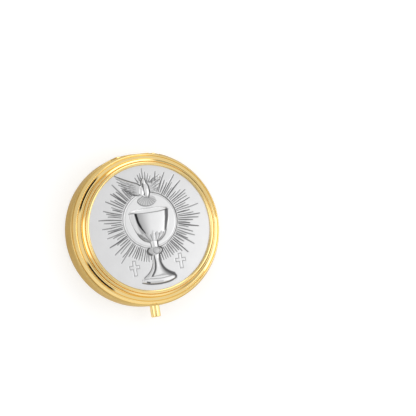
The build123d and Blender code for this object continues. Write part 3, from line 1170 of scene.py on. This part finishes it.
# Pieces that stand for solids: maker, solid, body, slot of the record, material
dressed = [
    (base_case, "base_shell", "base", "satin_gilt", satin_gilt),
    (host_cup, "inner_cup", "base", "gilt_lining", gilt_lining),
    (inner_rim, "rim_ring", "base", "gilt_lining", gilt_lining),
    (lid_rim, "lid_shell", "lid", "polished_gilt", polished_gilt),
    (lid_pan, "lid_liner", "lid", "gilt_lining", gilt_lining),
    (bezel, "bezel_ring", "lid", "polished_gilt", polished_gilt),
    (picture, "medallion", "lid", "silver_plate", stamped_silver),
    (button, "push_button", "button", "polished_gilt", polished_gilt),
]
for maker, solid, body, slot, material in dressed:
    piece = maker()
    finish_shading(piece, picture_sharp_deg if maker is picture else sharp_deg)
    piece.data.materials.append(material)
    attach(piece, body)
    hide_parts(solid)

# Solids that show as they are
for solid, material in (
    ("base_hinge_leaf", polished_gilt),
    ("lid_hinge_leaf", polished_gilt),
    ("hinge_pin", plain_brass),
    ("button_bush", plain_brass),
    ("spring_seat", plain_brass),
    ("catch", plain_brass),
    ("striker", plain_brass),
    ("return_spring", spring_steel),
    ("medallion_backing", packing_card),
):
    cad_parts[solid].data.materials.clear()
    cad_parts[solid].data.materials.append(material)


# Floor, light and camera


def seen_rays(tree):
    """Share of the glow that a ray sees: all from the camera, some from metal, none from the rest."""
    rays = node(tree, "ShaderNodeLightPath").outputs
    place = node(tree, "ShaderNodeTexCoord").outputs["Object"]
    depth = node(tree, "ShaderNodeSeparateXYZ", {0: place}).outputs[1]
    share = ramp(tree, depth, mirror_front, mirror_back, -mirror_reach * mm, 0)
    mirrored = calc(tree, "MULTIPLY", rays["Is Glossy Ray"], share)
    return calc(tree, "MAXIMUM", rays["Is Camera Ray"], mirrored)


def floor():
    """White floor that glows to the camera and to metal, less to metal behind the case as painted shade,
    and keeps the shadow of the case.
    """
    corners = [(x * floor_half, y * floor_half, 0) for x, y in ((-1, -1), (1, -1), (1, 1), (-1, 1))]
    piece = mesh_piece("floor", corners, [(0, 1, 2, 3)])
    material = bpy.data.materials.new("floor")
    material.use_nodes = True
    tree = material.node_tree
    shader = tree.nodes["Principled BSDF"]
    shader.inputs["Base Color"].default_value = (floor_grey, floor_grey, floor_grey, 1)
    shader.inputs["Roughness"].default_value = floor_rough
    shader.inputs["Specular IOR Level"].default_value = 0
    shader.inputs["Emission Color"].default_value = (1, 1, 1, 1)
    glow = calc(tree, "MULTIPLY", seen_rays(tree), floor_glow)
    tree.links.new(glow, shader.inputs["Emission Strength"])
    piece.data.materials.append(material)


def soft_light(name, place, size, brightness):
    """Square soft box, aimed at the case."""
    data = bpy.data.lights.new(name, "AREA")
    data.size = size * mm
    data.energy = brightness * pi * (size * mm) ** 2
    light = bpy.data.objects.new(name, data)
    bpy.context.scene.collection.objects.link(light)
    light.visible_camera = False
    light.location = Vector(place) * mm
    light.rotation_euler = (-light.location).to_track_quat("-Z", "Y").to_euler()


def studio():
    """Pale room with soft boxes at the sides and two dark gaps overhead. White to the camera."""
    world = bpy.data.worlds.new("studio")
    bpy.context.scene.world = world
    world.use_nodes = True
    tree = world.node_tree
    tree.nodes.clear()
    way = node(tree, "ShaderNodeTexCoord").outputs["Generated"]
    height = node(tree, "ShaderNodeSeparateXYZ", {0: way}).outputs[2]
    level = ramp(tree, height, room_low, room_high, *room_rise)
    for aim, inner, outer, bright in room_patches:
        ends = {0: way, 1: Vector(aim).normalized()}
        near = node(tree, "ShaderNodeVectorMath", ends, operation="DOT_PRODUCT").outputs["Value"]
        cover = ramp(tree, near, 0, 1, cos(radians(outer)), cos(radians(inner)))
        change = calc(tree, "MULTIPLY", cover, calc(tree, "SUBTRACT", bright, level))
        level = calc(tree, "ADD", level, change)
    seen = node(tree, "ShaderNodeLightPath").outputs["Is Camera Ray"]
    strength = calc(tree, "MAXIMUM", level, seen)
    light = node(tree, "ShaderNodeBackground", {"Color": (1, 1, 1, 1), "Strength": strength})
    node(tree, "ShaderNodeOutputWorld", {"Surface": light.outputs[0]})


def camera():
    """Camera at the photograph's place."""
    data = bpy.data.cameras.new("camera")
    data.lens = data.sensor_width / 2 / tan(radians(view_angle_deg) / 2)
    data.clip_start = near_clip
    ahead = (Vector(view_to) - Vector(view_from)).normalized()
    right = ahead.cross(Vector((0, 1, 0))).normalized()
    turn = Matrix((right, right.cross(ahead), -ahead)).transposed()
    turn = turn @ Matrix.Rotation(radians(view_roll_deg), 3, "Z")
    made = bpy.data.objects.new("camera", data)
    made.matrix_world = Matrix.LocRotScale(Vector(view_from) * mm, turn.to_quaternion(), None)
    bpy.context.scene.collection.objects.link(made)
    bpy.context.scene.camera = made


floor()
studio()
soft_light("key", key_place, key_size, key_brightness)
camera()
bpy.context.scene.view_settings.view_transform = "Standard"
